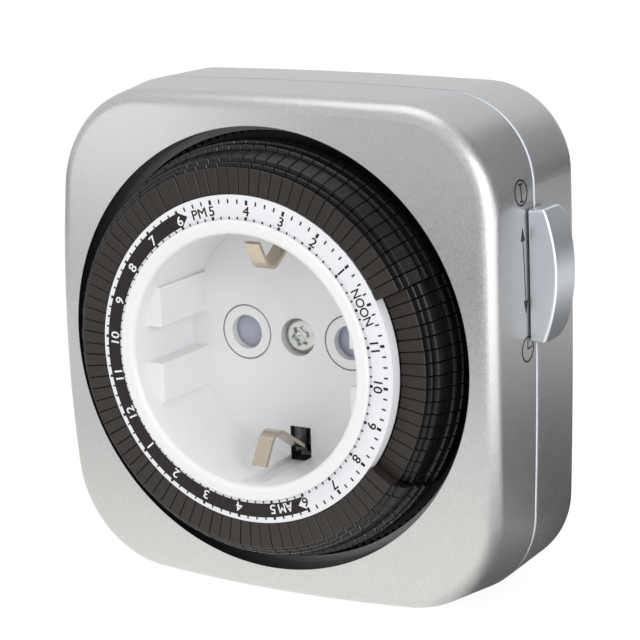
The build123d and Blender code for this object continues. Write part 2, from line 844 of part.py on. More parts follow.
def hour_segments(hour):
    pushed = segment_travel if first_on_hour <= hour <= last_on_hour else 0.0
    profile = make_face(Polyline(*segment_profile(scale_y + pushed), close=True))
    pitch = 360 / (hours_on_dial * segments_per_hour)
    wedge = revolve(profile, Axis.Y, pitch - segment_gap_angle)
    leg_trim = pitch / 2 - segment_gap_angle / 2 - leg_half_angle
    leg_front_y = scale_y + pushed + skirt_depth
    trims = []
    for start in (0, pitch - segment_gap_angle - leg_trim):
        trim = make_face(Polyline(
            (leg_inner_radius - 0.1, leg_front_y),
            (leg_outer_radius + 0.1, leg_front_y),
            (leg_outer_radius + 0.1, flange_rear_y + pushed + 1),
            (leg_inner_radius - 0.1, flange_rear_y + pushed + 1),
            close=True,
        ))
        trims.append(revolve(trim, Axis.Y, leg_trim).rotate(Axis.Y, start))
    wedge = wedge - trims[0] - trims[1]
    solids = []
    for index in range(segments_per_hour):
        offset = (index - segments_per_hour / 2) * pitch + segment_gap_angle / 2
        solids.append(wedge.rotate(Axis.Y, offset - hour_middle_angle(hour)))
    return Compound(children=solids)


def idler_gear():
    pinion = at_depth(
        gear_sketch(ring_module, idler_pinion_teeth, idler_direction + 180 + 180 / idler_pinion_teeth),
        flange_front_y,
        flange_rear_y + pinion_overlap,
    )
    wheel = at_depth(
        gear_sketch(wheel_module, idler_wheel_teeth, motor_direction), wheel_front_y, wheel_rear_y
    )
    gear = pinion + wheel + disc(idler_hub_radius, flange_rear_y, frame_front_y - hub_end_gap)
    gear -= disc(idler_axle_radius + axle_clearance, flange_front_y - 1, frame_front_y)
    return Pos(idler_x, 0, idler_z) * gear


def idler_axle():
    return disc(idler_axle_radius, ledge_rear_y - axle_seat_depth, frame_rear_y - axle_setback, idler_x, idler_z)


def motor_pinion():
    phase = motor_direction + 180 + 180 / motor_pinion_teeth
    gear = at_depth(gear_sketch(wheel_module, motor_pinion_teeth, phase), wheel_front_y, wheel_rear_y + pinion_overlap)
    gear += disc(motor_shaft_radius, wheel_rear_y, frame_rear_y - hub_end_gap)
    return Pos(motor_x, 0, motor_z) * gear


def motor():
    can = disc(motor_radius, frame_rear_y, motor_rear_y, motor_x, motor_z)
    can = fillet(can.edges().group_by(Axis.Y)[-1], motor_edge_round)
    for x, z in motor_ear_places:
        middle_x = (x + motor_x) / 2
        middle_z = (z + motor_z) / 2
        arm = Pos(middle_x, middle_z) * Rot(0, 0, motor_ear_direction)
        arm = arm * Rectangle(motor_ear_reach, 2 * motor_ear_radius)
        can += at_depth(arm, frame_rear_y, frame_rear_y + motor_ear_thickness)
        can += disc(motor_ear_radius, frame_rear_y, frame_rear_y + motor_ear_thickness, x, z)
    for x, z in motor_ear_places:
        can -= disc(motor_screw_radius + fit_clearance, frame_rear_y - 1, frame_rear_y + 2, x, z)
    return can


def motor_screws():
    ear_rear_y = frame_rear_y + motor_ear_thickness
    screws = []
    for x, z in motor_ear_places:
        shank = disc(motor_screw_radius, frame_front_y, ear_rear_y, x, z)
        head = disc(motor_screw_head_radius, ear_rear_y, ear_rear_y + motor_screw_head_height, x, z)
        screws.append(shank + head)
    return Compound(children=screws)


def lead(points):
    path = FilletPolyline(*points, radius=lead_bend_radius)
    section = Plane(origin=path @ 0, z_dir=path % 0) * Circle(lead_radius)
    return sweep(section, path)


def motor_leads():
    y = (frame_rear_y + motor_rear_y) / 2
    start = motor_radius + fit_clearance
    neutral_x = pin_places[0] - contact_leaf_x - strip_thickness
    neutral_lead = lead([
        (motor_x, y, motor_z + start),
        (motor_x, y, -neutral_lead_drop),
        (neutral_x, y, -neutral_lead_drop),
    ])
    live_y = switch_rear_y + outer_blade_length
    live_z = contact_floor_z - lead_radius - live_lead_gap
    live_lead = lead([
        (motor_x + start, y, motor_z),
        (live_lead_turn_x, y, motor_z),
        (live_lead_x, y, motor_z + live_lead_x - live_lead_turn_x),
        (live_lead_x, y, live_z),
        (live_lead_x, live_y, live_z),
    ])
    return Compound(children=[neutral_lead, live_lead])


# Switch

def follower_lever():
    bar = block((lever_nose_x, lever_pivot_x), (lever_front_y, lever_rear_y), (lever_bottom, lever_top))
    half = lever_thickness / 2
    for x in (lever_nose_x, lever_pivot_x):
        bar += Pos(x, lever_middle_y, lever_z) * Cylinder(half, lever_width)
    return bar - lever_bar_axis(lever_axle_radius + axle_clearance, lever_bottom - 1, lever_top + 1)


def follower_axle():
    overhang = cheek_gap + cheek_thickness
    return lever_bar_axis(lever_axle_radius, lever_bottom - overhang, lever_top + overhang)


def follower_spring():
    # Leaf that stands on the frame and pushes the lever towards the dial.
    half = lever_spring_thickness / 2
    tip_y = lever_rear_y + button_gap + half
    foot_y = frame_front_y - half
    path = Polyline((lever_spring_tip_x, tip_y), (lever_spring_bend_x, foot_y), (lever_spring_foot_x, foot_y))
    leaf = trace(path, line_width=lever_spring_thickness)
    low_z = lever_z - lever_spring_width / 2
    return Pos(0, 0, low_z) * extrude(leaf, amount=lever_spring_width)


def switch_case():
    case = block(
        (switch_left, switch_right),
        (frame_rear_y, switch_rear_y),
        (switch_bottom, switch_bottom + switch_height),
    )
    case = fillet(case.edges().filter_by(Axis.Y), switch_edge_round)
    well = disc(button_radius + fit_clearance, frame_rear_y - 1, frame_rear_y + button_well_depth, button_x, lever_z)
    return case - well


def switch_button():
    tip_y = lever_rear_y + button_gap
    stem = disc(button_radius, tip_y + button_radius, frame_rear_y + button_seat, button_x, lever_z)
    return stem + Pos(button_x, tip_y + button_radius, lever_z) * Sphere(button_radius)


def switch_terminals():
    blades = []
    for x, z, length in (
        (inner_blade_x, inner_blade_z, inner_blade_length),
        (outer_blade_x, outer_blade_z, outer_blade_length),
    ):
        blades.append(block(
            (x - blade_width / 2, x + blade_width / 2),
            (switch_rear_y, switch_rear_y + length),
            (z - blade_thickness / 2, z + blade_thickness / 2),
        ))
    return Compound(children=blades)


def override_slider():
    grip_rear_y = slider_front_y + slider_depth
    base_x = inner_half_width
    end_x = case_half_width + slider_end_rise
    crown = ThreePointArc(
        (end_x, slider_bottom), (case_half_width + slider_rise, slider_middle), (end_x, slider_top)
    )
    sides = Polyline(
        (end_x, slider_top),
        (base_x, slider_top - slider_end_slope),
        (base_x, slider_bottom + slider_end_slope),
        (end_x, slider_bottom),
    )
    grip = at_depth(make_face([crown, sides]), slider_front_y, grip_rear_y)
    rounded = block((base_x - 1, end_x + slider_rise), (slider_front_y, grip_rear_y), (slider_bottom, slider_top))
    grip &= fillet(rounded.edges().filter_by(Axis.X).group_by(Axis.Y)[-1], slider_corner)
    grip -= at_depth(parting_outline(-slider_foot_gap), slider_front_y - 1, grip_rear_y + 1)
    outer_edges = grip.edges().filter_by_position(Axis.X, case_half_width + 1, case_half_width + 9)
    grip = fillet(outer_edges, slider_round)
    stem = block(
        (guide_plate_outer_x, case_half_width + slider_end_rise / 2),
        (stem_front_y, stem_rear_y),
        (stem_bottom, stem_top),
    )
    guide = block(
        (guide_plate_inner_x, guide_plate_outer_x),
        (stem_front_y - guide_plate_front, stem_rear_y + guide_plate_rear),
        (stem_bottom - guide_plate_margin, stem_top + guide_plate_margin),
    )
    return grip + stem + guide + slider_finger()


def slider_finger():
    # Finger that reaches through the frame and holds the lever down.
    finger_x = (guide_plate_inner_x, guide_plate_inner_x + finger_width)
    finger_z = (finger_bottom, finger_top)
    nub_rear_y = lever_front_y - nub_gap
    bar_rear_y = nub_rear_y - nub_height
    bar_front_y = bar_rear_y - hook_thickness
    hook_x = guide_plate_inner_x - hook_reach
    finger = block(finger_x, (bar_front_y, stem_front_y), finger_z)
    finger += block((hook_x, finger_x[1]), (bar_front_y, bar_rear_y), finger_z)
    return finger + block((hook_x, hook_x + nub_width), (bar_front_y, nub_rear_y), finger_z)


def slider_spring():
    # Bowed leaf between the switch and the slider's guide plate.
    half = slider_spring_thickness / 2
    crown_x = guide_plate_inner_x - slider_spring_gap - half
    path = ThreePointArc(
        (switch_right + half, slider_middle - slider_spring_reach),
        (crown_x, slider_middle),
        (switch_right + half, slider_middle + slider_spring_reach),
    )
    return at_depth(trace(path, line_width=slider_spring_thickness), stem_front_y, stem_rear_y)


# Case screws

def case_screws():
    screws = []
    for x, z in case_screw_places:
        head_front_y = -case_screw_recess
        shank = disc(case_screw_radius, frame_front_y - case_screw_bite, head_front_y, x, z)
        head = disc(case_screw_head_radius, head_front_y, head_front_y + case_screw_head_height, x, z)
        screws.append(shank + head)
    return Compound(children=screws)


def all_parts():
    parts = {
        "front_housing": front_housing(),
        "rear_housing": rear_housing(),
        "middle_frame": middle_frame(),
        "case_screws": case_screws(),
        "socket_insert": socket_insert(),
        "centre_screw": centre_screw(),
        "pin_shutter": pin_shutter(),
        "shutter_spring": shutter_spring(),
        "socket_earth_clip": socket_earth_clip(),
        "neutral_contact": neutral_contact(),
        "live_contact": live_contact(),
        "live_link": live_link(),
        "plug_pins": plug_pins(),
        "plug_earth_clip": plug_earth_clip(),
        "earth_post": earth_post(),
        "time_scale_ring": time_scale_ring(),
        "segment_carrier": segment_carrier(),
        "idler_gear": idler_gear(),
        "idler_axle": idler_axle(),
        "motor": motor(),
        "motor_pinion": motor_pinion(),
        "motor_screws": motor_screws(),
        "motor_leads": motor_leads(),
        "follower_lever": follower_lever(),
        "follower_axle": follower_axle(),
        "follower_spring": follower_spring(),
        "switch_case": switch_case(),
        "switch_button": switch_button(),
        "switch_terminals": switch_terminals(),
        "override_slider": override_slider(),
        "slider_spring": slider_spring(),
    }
    for hour in range(hours_on_dial):
        parts[f"segments_{hour:02d}h"] = hour_segments(hour)
    return parts


os.makedirs("parts", exist_ok=True)
for name, shape in all_parts().items():
    export_step(shape, f"parts/{name}.step")
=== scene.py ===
import bpy
import bmesh
import json
import math
from mathutils import Matrix, Vector


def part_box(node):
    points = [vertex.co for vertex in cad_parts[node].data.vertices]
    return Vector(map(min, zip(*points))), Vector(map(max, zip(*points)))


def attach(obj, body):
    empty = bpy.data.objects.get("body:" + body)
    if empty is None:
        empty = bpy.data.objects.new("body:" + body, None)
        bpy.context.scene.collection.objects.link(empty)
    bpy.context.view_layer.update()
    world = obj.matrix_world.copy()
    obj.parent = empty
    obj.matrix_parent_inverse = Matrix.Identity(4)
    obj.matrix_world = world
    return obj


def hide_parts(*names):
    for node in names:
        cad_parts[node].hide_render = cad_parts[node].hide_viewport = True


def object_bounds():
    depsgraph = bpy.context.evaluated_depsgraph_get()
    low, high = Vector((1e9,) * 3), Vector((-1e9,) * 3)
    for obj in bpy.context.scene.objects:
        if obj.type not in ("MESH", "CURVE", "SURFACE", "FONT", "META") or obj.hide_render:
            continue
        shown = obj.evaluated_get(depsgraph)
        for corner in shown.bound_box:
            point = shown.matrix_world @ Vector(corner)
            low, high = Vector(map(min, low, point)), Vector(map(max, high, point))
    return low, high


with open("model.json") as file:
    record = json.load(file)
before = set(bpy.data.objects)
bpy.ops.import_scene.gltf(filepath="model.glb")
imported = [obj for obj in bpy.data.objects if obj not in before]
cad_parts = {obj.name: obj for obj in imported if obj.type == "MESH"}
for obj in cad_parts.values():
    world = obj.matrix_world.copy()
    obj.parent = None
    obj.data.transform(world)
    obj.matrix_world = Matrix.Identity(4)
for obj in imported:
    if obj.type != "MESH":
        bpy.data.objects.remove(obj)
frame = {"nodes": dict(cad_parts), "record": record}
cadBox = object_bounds()
scene = bpy.context.scene
mm = 0.001
print("frame loaded")


# every material and every geometry recipe is drawn on a sheet, with wires between its nodes

class Wire:
    def __init__(self, sheet, socket):
        self.sheet = sheet
        self.socket = socket

    def __add__(self, other):
        return self.sheet.sum("ADD", self, other)

    def __sub__(self, other):
        return self.sheet.sum("SUBTRACT", self, other)

    def __rsub__(self, other):
        return self.sheet.sum("SUBTRACT", other, self)

    def __mul__(self, other):
        return self.sheet.sum("MULTIPLY", self, other)

    def __truediv__(self, other):
        return self.sheet.sum("DIVIDE", self, other)

    def __mod__(self, other):
        return self.sheet.sum("MODULO", self, other)

    __radd__ = __add__
    __rmul__ = __mul__


class Sheet:
    def __init__(self, tree):
        self.tree = tree

    def node(self, kind, settings=None, sockets=None, out=0):
        made = self.tree.nodes.new(kind)
        for key, value in (settings or {}).items():
            if key == "stops":  # a ramp's places and colours, from left to right
                ramp = made.color_ramp.elements
                while len(ramp) < len(value):
                    ramp.new(1)
                for stop, (place, colour) in zip(ramp, value):
                    stop.position = place
                    stop.color = colour
            else:
                setattr(made, key, value)
        for key, value in (sockets or {}).items():
            if isinstance(value, Wire):
                self.tree.links.new(value.socket, made.inputs[key])
            else:
                made.inputs[key].default_value = value
        return Wire(self, made.outputs[out]) if made.outputs else None

    def wires(self, kind, sockets, outs):
        # several outputs of one node
        made = self.node(kind, {}, sockets).socket.node
        return [Wire(self, made.outputs[out]) for out in outs]

    def axes(self, place):
        return self.wires("ShaderNodeSeparateXYZ", {0: place}, (0, 1, 2))

    def rays(self):
        return self.wires("ShaderNodeLightPath", {}, ("Is Camera Ray", "Is Glossy Ray"))

    def sum(self, operation, *terms):
        return self.node("ShaderNodeMath", {"operation": operation}, dict(enumerate(terms)))

    def ease(self, value, start, end, low=0.0, high=1.0):
        # a smooth step from low to high between start and end
        sockets = {"Value": value, "From Min": start, "From Max": end, "To Min": low, "To Max": high}
        return self.node("ShaderNodeMapRange", {"interpolation_type": "SMOOTHSTEP"}, sockets)

    def colours(self, factor, first, second):
        first, second = [(*c, 1) if isinstance(c, tuple) else c for c in (first, second)]
        return self.node("ShaderNodeMix", {"data_type": "RGBA"}, {0: factor, 6: first, 7: second}, out=2)

    def combine(self, x, y, z):
        return self.node("ShaderNodeCombineXYZ", {}, {0: x, 1: y, 2: z})


class Finish(Sheet):
    def __init__(self, name):
        self.material = bpy.data.materials.new(name)
        self.material.use_nodes = True
        super().__init__(self.material.node_tree)
        self.tree.nodes.clear()
        self.place = self.node("ShaderNodeTexCoord", out="Object")

    def dialRadius(self):
        x, y, z = self.axes(self.place)
        return self.sum("SQRT", x * x + z * z)

    def noise(self, scale, detail, stretch=None):
        place = self.place
        if stretch:
            place = self.node("ShaderNodeMapping", {}, {"Vector": place, "Scale": stretch})
        return self.node("ShaderNodeTexNoise", {}, {"Vector": place, "Scale": scale, "Detail": detail})

    def flakes(self, scale):
        cells = self.node("ShaderNodeTexVoronoi", {}, {"Vector": self.place, "Scale": scale}, out="Color")
        return self.node("ShaderNodeSeparateColor", {}, {0: cells})

    def vary(self, middle, *shares):
        # a value that wanders about the middle, with each noise by its share
        drifts = [(noise - 0.5) * share for noise, share in shares]
        return sum(drifts[1:], drifts[0]) + middle

    def bump(self, height, look):
        sockets = {"Height": height, "Strength": look["bump"], "Distance": look["bumpDepth"]}
        return self.node("ShaderNodeBump", {}, sockets)

    def paint(self, sockets):
        return self.close(self.node("ShaderNodeBsdfPrincipled", {}, sockets))

    def close(self, surface):
        self.node("ShaderNodeOutputMaterial", {}, {"Surface": surface})
        return self.material


paintLook = {
    "metallic": 0.88, "bump": 0.1, "bumpDepth": 0.00002,
    "dark": (0.485, 0.49, 0.502), "light": (0.635, 0.64, 0.652), "roughness": 0.33,
    "flakeScale": 5200, "flakeTone": 0.5, "flakeRough": 0.1, "flakeBump": 0.5,
    "cloudScale": 45, "cloudTone": 0.35, "cloudRough": 0.05, "grainScale": 2600,
}


def silverPaint(name, changes):
    look = {**paintLook, **changes}
    finish = Finish(name)
    flake = finish.flakes(look["flakeScale"])
    cloud = finish.noise(look["cloudScale"], 3)
    grain = finish.noise(look["grainScale"], 1)
    tone = finish.vary(0.5, (flake, look["flakeTone"]), (cloud, look["cloudTone"]))
    colour = finish.colours(tone, look["dark"], look["light"])
    if "recess" in look:
        # painted shade and painted reflection: the recess wall's silver is painted dark grey, standing in for the
        # shadow and the mirrored black of the dial close to it
        recessWallShade = finish.sum("LESS_THAN", finish.dialRadius(), look["recessRadius"])
        depth = finish.axes(finish.place)[1]
        recessWallShade = recessWallShade * finish.sum("COMPARE", depth, look["recessMiddle"], look["recessHalf"])
        colour = finish.colours(recessWallShade, colour, look["recess"])
    return finish.paint({
        "Base Color": colour,
        "Metallic": look["metallic"],
        "Roughness": finish.vary(look["roughness"], (flake, look["flakeRough"]), (cloud, look["cloudRough"])),
        "Normal": finish.bump(grain + flake * look["flakeBump"], look),
    })


# where the painted shade of the earth slots and the pin-hole grooves lies
hollowShadeLook = {
    "floorPlane": -0.021, "aboveFloor": 0.0001, "onFloor": 0.0004, "slotHalf": 0.0021, "slotInner": 0.0147,
    "pinPlace": 0.0095, "grooveRadius": 0.00443, "grooveHalf": 0.00012, "grooveShadeTone": 0.75,
}


def hollows(finish):
    # painted shade: the insides of the earth slots and the fine groove round each pin hole are marked to be painted
    # dark, as shadow
    look = hollowShadeLook
    x, y, z = finish.axes(finish.place)
    across = finish.sum("ABSOLUTE", x)
    high = finish.sum("ABSOLUTE", z)
    slot = finish.sum("LESS_THAN", across, look["slotHalf"])
    slot = slot * finish.sum("GREATER_THAN", high, look["slotInner"])
    slot = slot * finish.sum("GREATER_THAN", y, look["floorPlane"] + look["aboveFloor"])
    off = across - look["pinPlace"]
    reach = finish.sum("SQRT", off * off + z * z)
    groove = finish.sum("COMPARE", reach, look["grooveRadius"], look["grooveHalf"])
    groove = groove * finish.sum("COMPARE", y, look["floorPlane"], look["onFloor"])
    return slot + groove * look["grooveShadeTone"]


plasticLook = {
    "specular": 0.5, "glow": 0.0, "glowReach": (0.0012, 0.0011, 0.001), "bump": 0.12, "bumpDepth": 0.00003,
    "cloudScale": 60, "cloudTone": 0.8, "cloudRough": 0.08, "cloudBump": 0.6,
    "grainScale": 1800, "grainTone": 0.3, "grainRough": 0.16,
}
plastics = {
    "white_frame": {"dark": (0.82, 0.86, 0.96), "light": (0.9, 0.93, 1.0), "roughness": 0.4, "glow": 0.1},
    "white_socket": {
        "dark": (0.79, 0.795, 0.805), "light": (0.86, 0.865, 0.875), "roughness": 0.34, "cloudScale": 25,
        # shade is a painted shadow colour for the earth slots and the grooves round the pin holes
        "bump": 0.08, "glow": 0.12, "shade": (0.035, 0.033, 0.033),
    },
    "white_scale": {"dark": (0.75, 0.755, 0.785), "light": (0.83, 0.835, 0.86), "roughness": 0.5, "bump": 0.08},
    "carrier_black": {
        "dark": (0.01, 0.009, 0.0085), "light": (0.018, 0.016, 0.015), "roughness": 0.5, "specular": 0.35,
    },
    "segment_black": {
        "dark": (0.0165, 0.0117, 0.0102), "light": (0.032, 0.0235, 0.0208), "roughness": 0.42,
        "specular": 0.4, "grainScale": 900, "grainTone": 0.7, "bump": 0.2,
        # the steps outside the land get a darker colour of painted shade, and more gloss
        "rimShadeAndGloss": (0.0055, 0.0045, 0.0048), "rimRadius": 0.03013, "rimPolish": 0.14,
    },
    # painted shade: the white shutters are coloured a dim grey-blue, as they sit in shadow inside the pin holes
    "shutter_white": {"dark": (0.36, 0.37, 0.45), "light": (0.48, 0.5, 0.58), "roughness": 0.18},
    "gear_nylon": {"dark": (0.7, 0.68, 0.62), "light": (0.8, 0.78, 0.72), "roughness": 0.45, "glow": 0.1},
    "lead_insulation": {"dark": (0.04, 0.09, 0.3), "light": (0.06, 0.13, 0.38), "roughness": 0.38},
    "lever_grey": {"dark": (0.33, 0.34, 0.35), "light": (0.44, 0.45, 0.46), "roughness": 0.45},
    "switch_dark": {"dark": (0.03, 0.03, 0.034), "light": (0.06, 0.06, 0.066), "roughness": 0.5},
    "print_black": {
        "dark": (0.012, 0.009, 0.009), "light": (0.026, 0.02, 0.019), "roughness": 0.55, "specular": 0.25,
    },
    "print_white": {"dark": (0.78, 0.78, 0.78), "light": (0.86, 0.86, 0.86), "roughness": 0.5},
}


def mouldedPlastic(name, changes):
    look = {**plasticLook, **changes}
    finish = Finish(name)
    cloud = finish.noise(look["cloudScale"], 3)
    grain = finish.noise(look["grainScale"], 2)
    tone = finish.vary(0.5, (cloud, look["cloudTone"]), (grain, look["grainTone"]))
    rough = finish.vary(look["roughness"], (grain, look["grainRough"]), (cloud, look["cloudRough"]))
    colour = finish.colours(tone, look["dark"], look["light"])
    # painted shade: where the mask marks the earth slots and pin-hole grooves, the colour turns to the dark shade
    # colour
    if "shade" in look:
        colour = finish.colours(hollows(finish), colour, look["shade"])
    if "rimShadeAndGloss" in look:
        # outside the matt land of a segment its steps are glossy, and their colour is painted darker, as shade
        # deeper in the dial
        rimShadeAndGloss = finish.sum("GREATER_THAN", finish.dialRadius(), look["rimRadius"])
        colour = finish.colours(rimShadeAndGloss, colour, look["rimShadeAndGloss"])
        rough = rough - rimShadeAndGloss * look["rimPolish"]
    return finish.paint({
        "Base Color": colour,
        "Roughness": rough,
        "Specular IOR Level": look["specular"],
        "Subsurface Weight": look["glow"],
        "Subsurface Radius": look["glowReach"],
        "Subsurface Scale": 1.0,
        "Normal": finish.bump(grain + cloud * look["cloudBump"], look),
    })


metalLook = {
    "bump": 0.1, "bumpDepth": 0.00002, "cloudScale": 180, "cloudTone": 0.9, "cloudRough": 0.12, "cloudBump": 0.4,
    "scratchScale": 900, "scratchTone": 0.5, "scratchRough": 0.2, "stretch": (1, 12, 1),
}
metals = {
    "screw_steel": {"dark": (0.46, 0.48, 0.46), "light": (0.74, 0.76, 0.73), "roughness": 0.17},
    "axle_steel": {"dark": (0.45, 0.45, 0.45), "light": (0.62, 0.62, 0.62), "roughness": 0.25},
    "spring_steel": {"dark": (0.4, 0.4, 0.4), "light": (0.55, 0.55, 0.55), "roughness": 0.3},
    "earth_plated": {
        "dark": (0.52, 0.44, 0.345), "light": (0.67, 0.59, 0.48), "roughness": 0.2, "stretch": (3, 1, 1),
        "bump": 0.03,
    },
    "contact_brass": {"dark": (0.62, 0.42, 0.14), "light": (0.8, 0.6, 0.26), "roughness": 0.28},
    "plug_pin_plated": {
        "dark": (0.58, 0.57, 0.54), "light": (0.78, 0.77, 0.74), "roughness": 0.24, "stretch": (1, 0.2, 1),
    },
    "motor_can": {"dark": (0.42, 0.42, 0.4), "light": (0.58, 0.58, 0.55), "roughness": 0.36},
}


def workedMetal(name, changes):
    look = {**metalLook, **changes}
    finish = Finish(name)
    cloud = finish.noise(look["cloudScale"], 4)
    scratch = finish.noise(look["scratchScale"], 3, look["stretch"])
    tone = finish.vary(0.5, (cloud, look["cloudTone"]), (scratch, look["scratchTone"]))
    rough = finish.vary(look["roughness"], (scratch, look["scratchRough"]), (cloud, look["cloudRough"]))
    return finish.paint({
        "Base Color": finish.colours(tone, look["dark"], look["light"]),
        "Metallic": 1.0,
        "Roughness": rough,
        "Normal": finish.bump(scratch + cloud * look["cloudBump"], look),
    })


finishes = {name: mouldedPlastic(name, look) for name, look in plastics.items()}
finishes.update({name: workedMetal(name, look) for name, look in metals.items()})
finishes["silver_shell"] = silverPaint("silver_shell", {
    # the recess wall takes a dark grey of painted shade and painted reflection of the black dial
    "recess": (0.17, 0.17, 0.175), "recessRadius": 0.03555, "recessMiddle": -0.0285, "recessHalf": 0.0033,
})
finishes["silver_slider"] = silverPaint("silver_slider", {
    "dark": (0.78, 0.83, 0.88), "light": (0.85, 0.9, 0.95), "roughness": 0.3, "flakeTone": 0.06,
    "flakeRough": 0.02, "bump": 0.006,
})
for part in frame["record"]["subparts"]:
    for slot in frame["nodes"][part["node"]].material_slots:
        slot.material = finishes[part["material_slot"]]
print("finishes painted")


def placeObject(name, data):
    thing = bpy.data.objects.new(name, data)
    scene.collection.objects.link(thing)
    return thing


def addPiece(name, mesh, finish, body, stands=()):
    mesh.materials.clear()
    mesh.materials.append(finishes[finish])
    piece = placeObject(name, mesh)
    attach(piece, body)
    if stands:
        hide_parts(*stands)


def closedMesh(name, shape):
    bmesh.ops.remove_doubles(shape, verts=shape.verts, dist=1e-7)
    bmesh.ops.recalc_face_normals(shape, faces=shape.faces)
    mesh = bpy.data.meshes.new(name)
    shape.to_mesh(mesh)
    shape.free()
    return mesh


def skinRings(shape, rings, closeEnds=True):
    # joins rings of equal length, given as lists of places, into one skin
    rows = [[shape.verts.new(place) for place in ring] for ring in rings]
    for low, high in zip(rows, rows[1:]):
        for i in range(len(low)):
            j = (i + 1) % len(low)
            shape.faces.new((low[i], low[j], high[j], high[i]))
    if closeEnds:
        shape.faces.new(rows[0])
        shape.faces.new(rows[-1])


class Recipe(Sheet):
    def __init__(self, name, inputs):
        super().__init__(bpy.data.node_groups.new(name, "GeometryNodeTree"))
        face = self.tree.interface
        face.new_socket("Geometry", in_out="INPUT", socket_type="NodeSocketGeometry")
        for label, kind in {**inputs, "Material": "Material"}.items():
            face.new_socket(label, in_out="INPUT", socket_type="NodeSocket" + kind)
        face.new_socket("Geometry", in_out="OUTPUT", socket_type="NodeSocketGeometry")
        self.given = self.tree.nodes.new("NodeGroupInput")

    def size(self, label):
        return Wire(self, self.given.outputs[label])

    def points(self, count, place):
        return self.node("GeometryNodePoints", {}, {"Count": count, "Position": place})

    def setOut(self, points, shape, turn):
        # one copy of the shape on every point, made real and painted
        placed = {"Points": points, "Instance": shape, "Rotation": turn}
        copies = self.node("GeometryNodeInstanceOnPoints", {}, placed)
        real = self.node("GeometryNodeRealizeInstances", {}, {0: copies})
        painted = self.node("GeometryNodeSetMaterial", {}, {"Geometry": real, "Material": self.size("Material")})
        self.node("NodeGroupOutput", {}, {0: painted})

    def cook(self, name, mesh, sizes):
        holder = placeObject(name, mesh)
        modifier = holder.modifiers.new("recipe", "NODES")
        modifier.node_group = self.tree
        for socket in self.tree.interface.items_tree:
            if socket.in_out == "INPUT" and socket.name in sizes:
                modifier[socket.identifier] = sizes[socket.name]
        graph = bpy.context.evaluated_depsgraph_get()
        result = bpy.data.meshes.new_from_object(holder.evaluated_get(graph))
        holder.modifiers.clear()
        bpy.data.objects.remove(holder)
        return result


# the dial: its face lies at dialPlane, and its angles run clockwise from the top

dialPlane = -37.5
hourAngle = 15.0
fourOClock = 3.75
pushedHours = range(8, 12)


def hourPlace(hour):
    return fourOClock + (16 - hour) * hourAngle


def onDial(radius, angle, depth):
    turn = math.radians(angle)
    return (radius * math.sin(turn) * mm, (dialPlane + depth) * mm, radius * math.cos(turn) * mm)


segmentLook = {
    "landRadius": 30.1, "depth": 8.4, "pitch": 3.75, "gap": 0.2, "edge": 0.09, "travel": 2.4, "jitter": 0.14,
    "seed": 5, "legInner": 27.5, "legOuter": 28.9, "legEnd": 13.7, "legHalfAngle": 0.9, "legRoot": 0.4,
    # radius and depth of the outline, from the inner front corner outwards
    "section": [
        (26.1, 0.0), (30.06, 0.0), (30.16, 0.12), (30.18, 0.72), (30.72, 0.76), (30.84, 0.9), (30.86, 1.5),
        (31.42, 1.55), (31.56, 1.72), (32.3, 4.1), (32.08, 4.28), (32.14, 4.62), (32.74, 4.7), (32.88, 4.9),
        (32.98, 5.9), (32.76, 6.05), (32.8, 6.3), (33.28, 6.38), (33.4, 6.6), (33.5, 8.4), (32.3, 8.4),
        (31.1, 3.2), (28.9, 3.2), (28.9, 8.4), (26.1, 8.4),
    ],
}


def insetSection(points, amount):
    # moves every side of an outline inwards
    moved = []
    for i, here in enumerate(points):
        before, here, after = (Vector(points[(i + step) % len(points)]) for step in (-1, 0, 1))
        into = (here - before).normalized()
        away = (after - here).normalized()
        square = Vector((-into.y, into.x))
        inwards = square + Vector((-away.y, away.x))
        if inwards.length < 1e-6:
            inwards = square.copy()
        inwards.normalize()
        moved.append(tuple(here + inwards * (amount / max(0.5, inwards.dot(square)))))
    return moved


def segmentMesh():
    look = segmentLook
    shape = bmesh.new()
    half = (look["pitch"] - look["gap"]) / 2
    bevel = math.degrees(look["edge"] / look["landRadius"])
    full, small = look["section"], insetSection(look["section"], look["edge"])
    skinRings(shape, [
        [onDial(radius, angle, depth) for radius, depth in section]
        for angle, section in ((-half, small), (-half + bevel, full), (half - bevel, full), (half, small))
    ])
    corners = ((look["legInner"], -1), (look["legOuter"], -1), (look["legOuter"], 1), (look["legInner"], 1))
    skinRings(shape, [
        [onDial(radius, side * look["legHalfAngle"], depth) for radius, side in corners]
        for depth in (look["depth"] - look["legRoot"], look["legEnd"])
    ])
    return closedMesh("segment", shape)


def drawSegmentRow():
    recipe = Recipe("segmentRow", {
        "Count": "Int", "Pitch": "Float", "First": "Float", "Push": "Float", "Jitter": "Float", "Seed": "Int",
    })
    index = recipe.node("GeometryNodeInputIndex")
    angle = recipe.size("First") + recipe.size("Pitch") * index
    uneven = recipe.node(
        "FunctionNodeRandomValue", {"data_type": "FLOAT"},
        {2: 0.0, 3: recipe.size("Jitter"), "ID": index, "Seed": recipe.size("Seed")}, out=1,
    )
    stand = recipe.combine(0.0, recipe.size("Push") + uneven, 0.0)
    points = recipe.points(recipe.size("Count"), stand)
    recipe.setOut(points, recipe.size("Geometry"), recipe.combine(0.0, angle, 0.0))
    return recipe


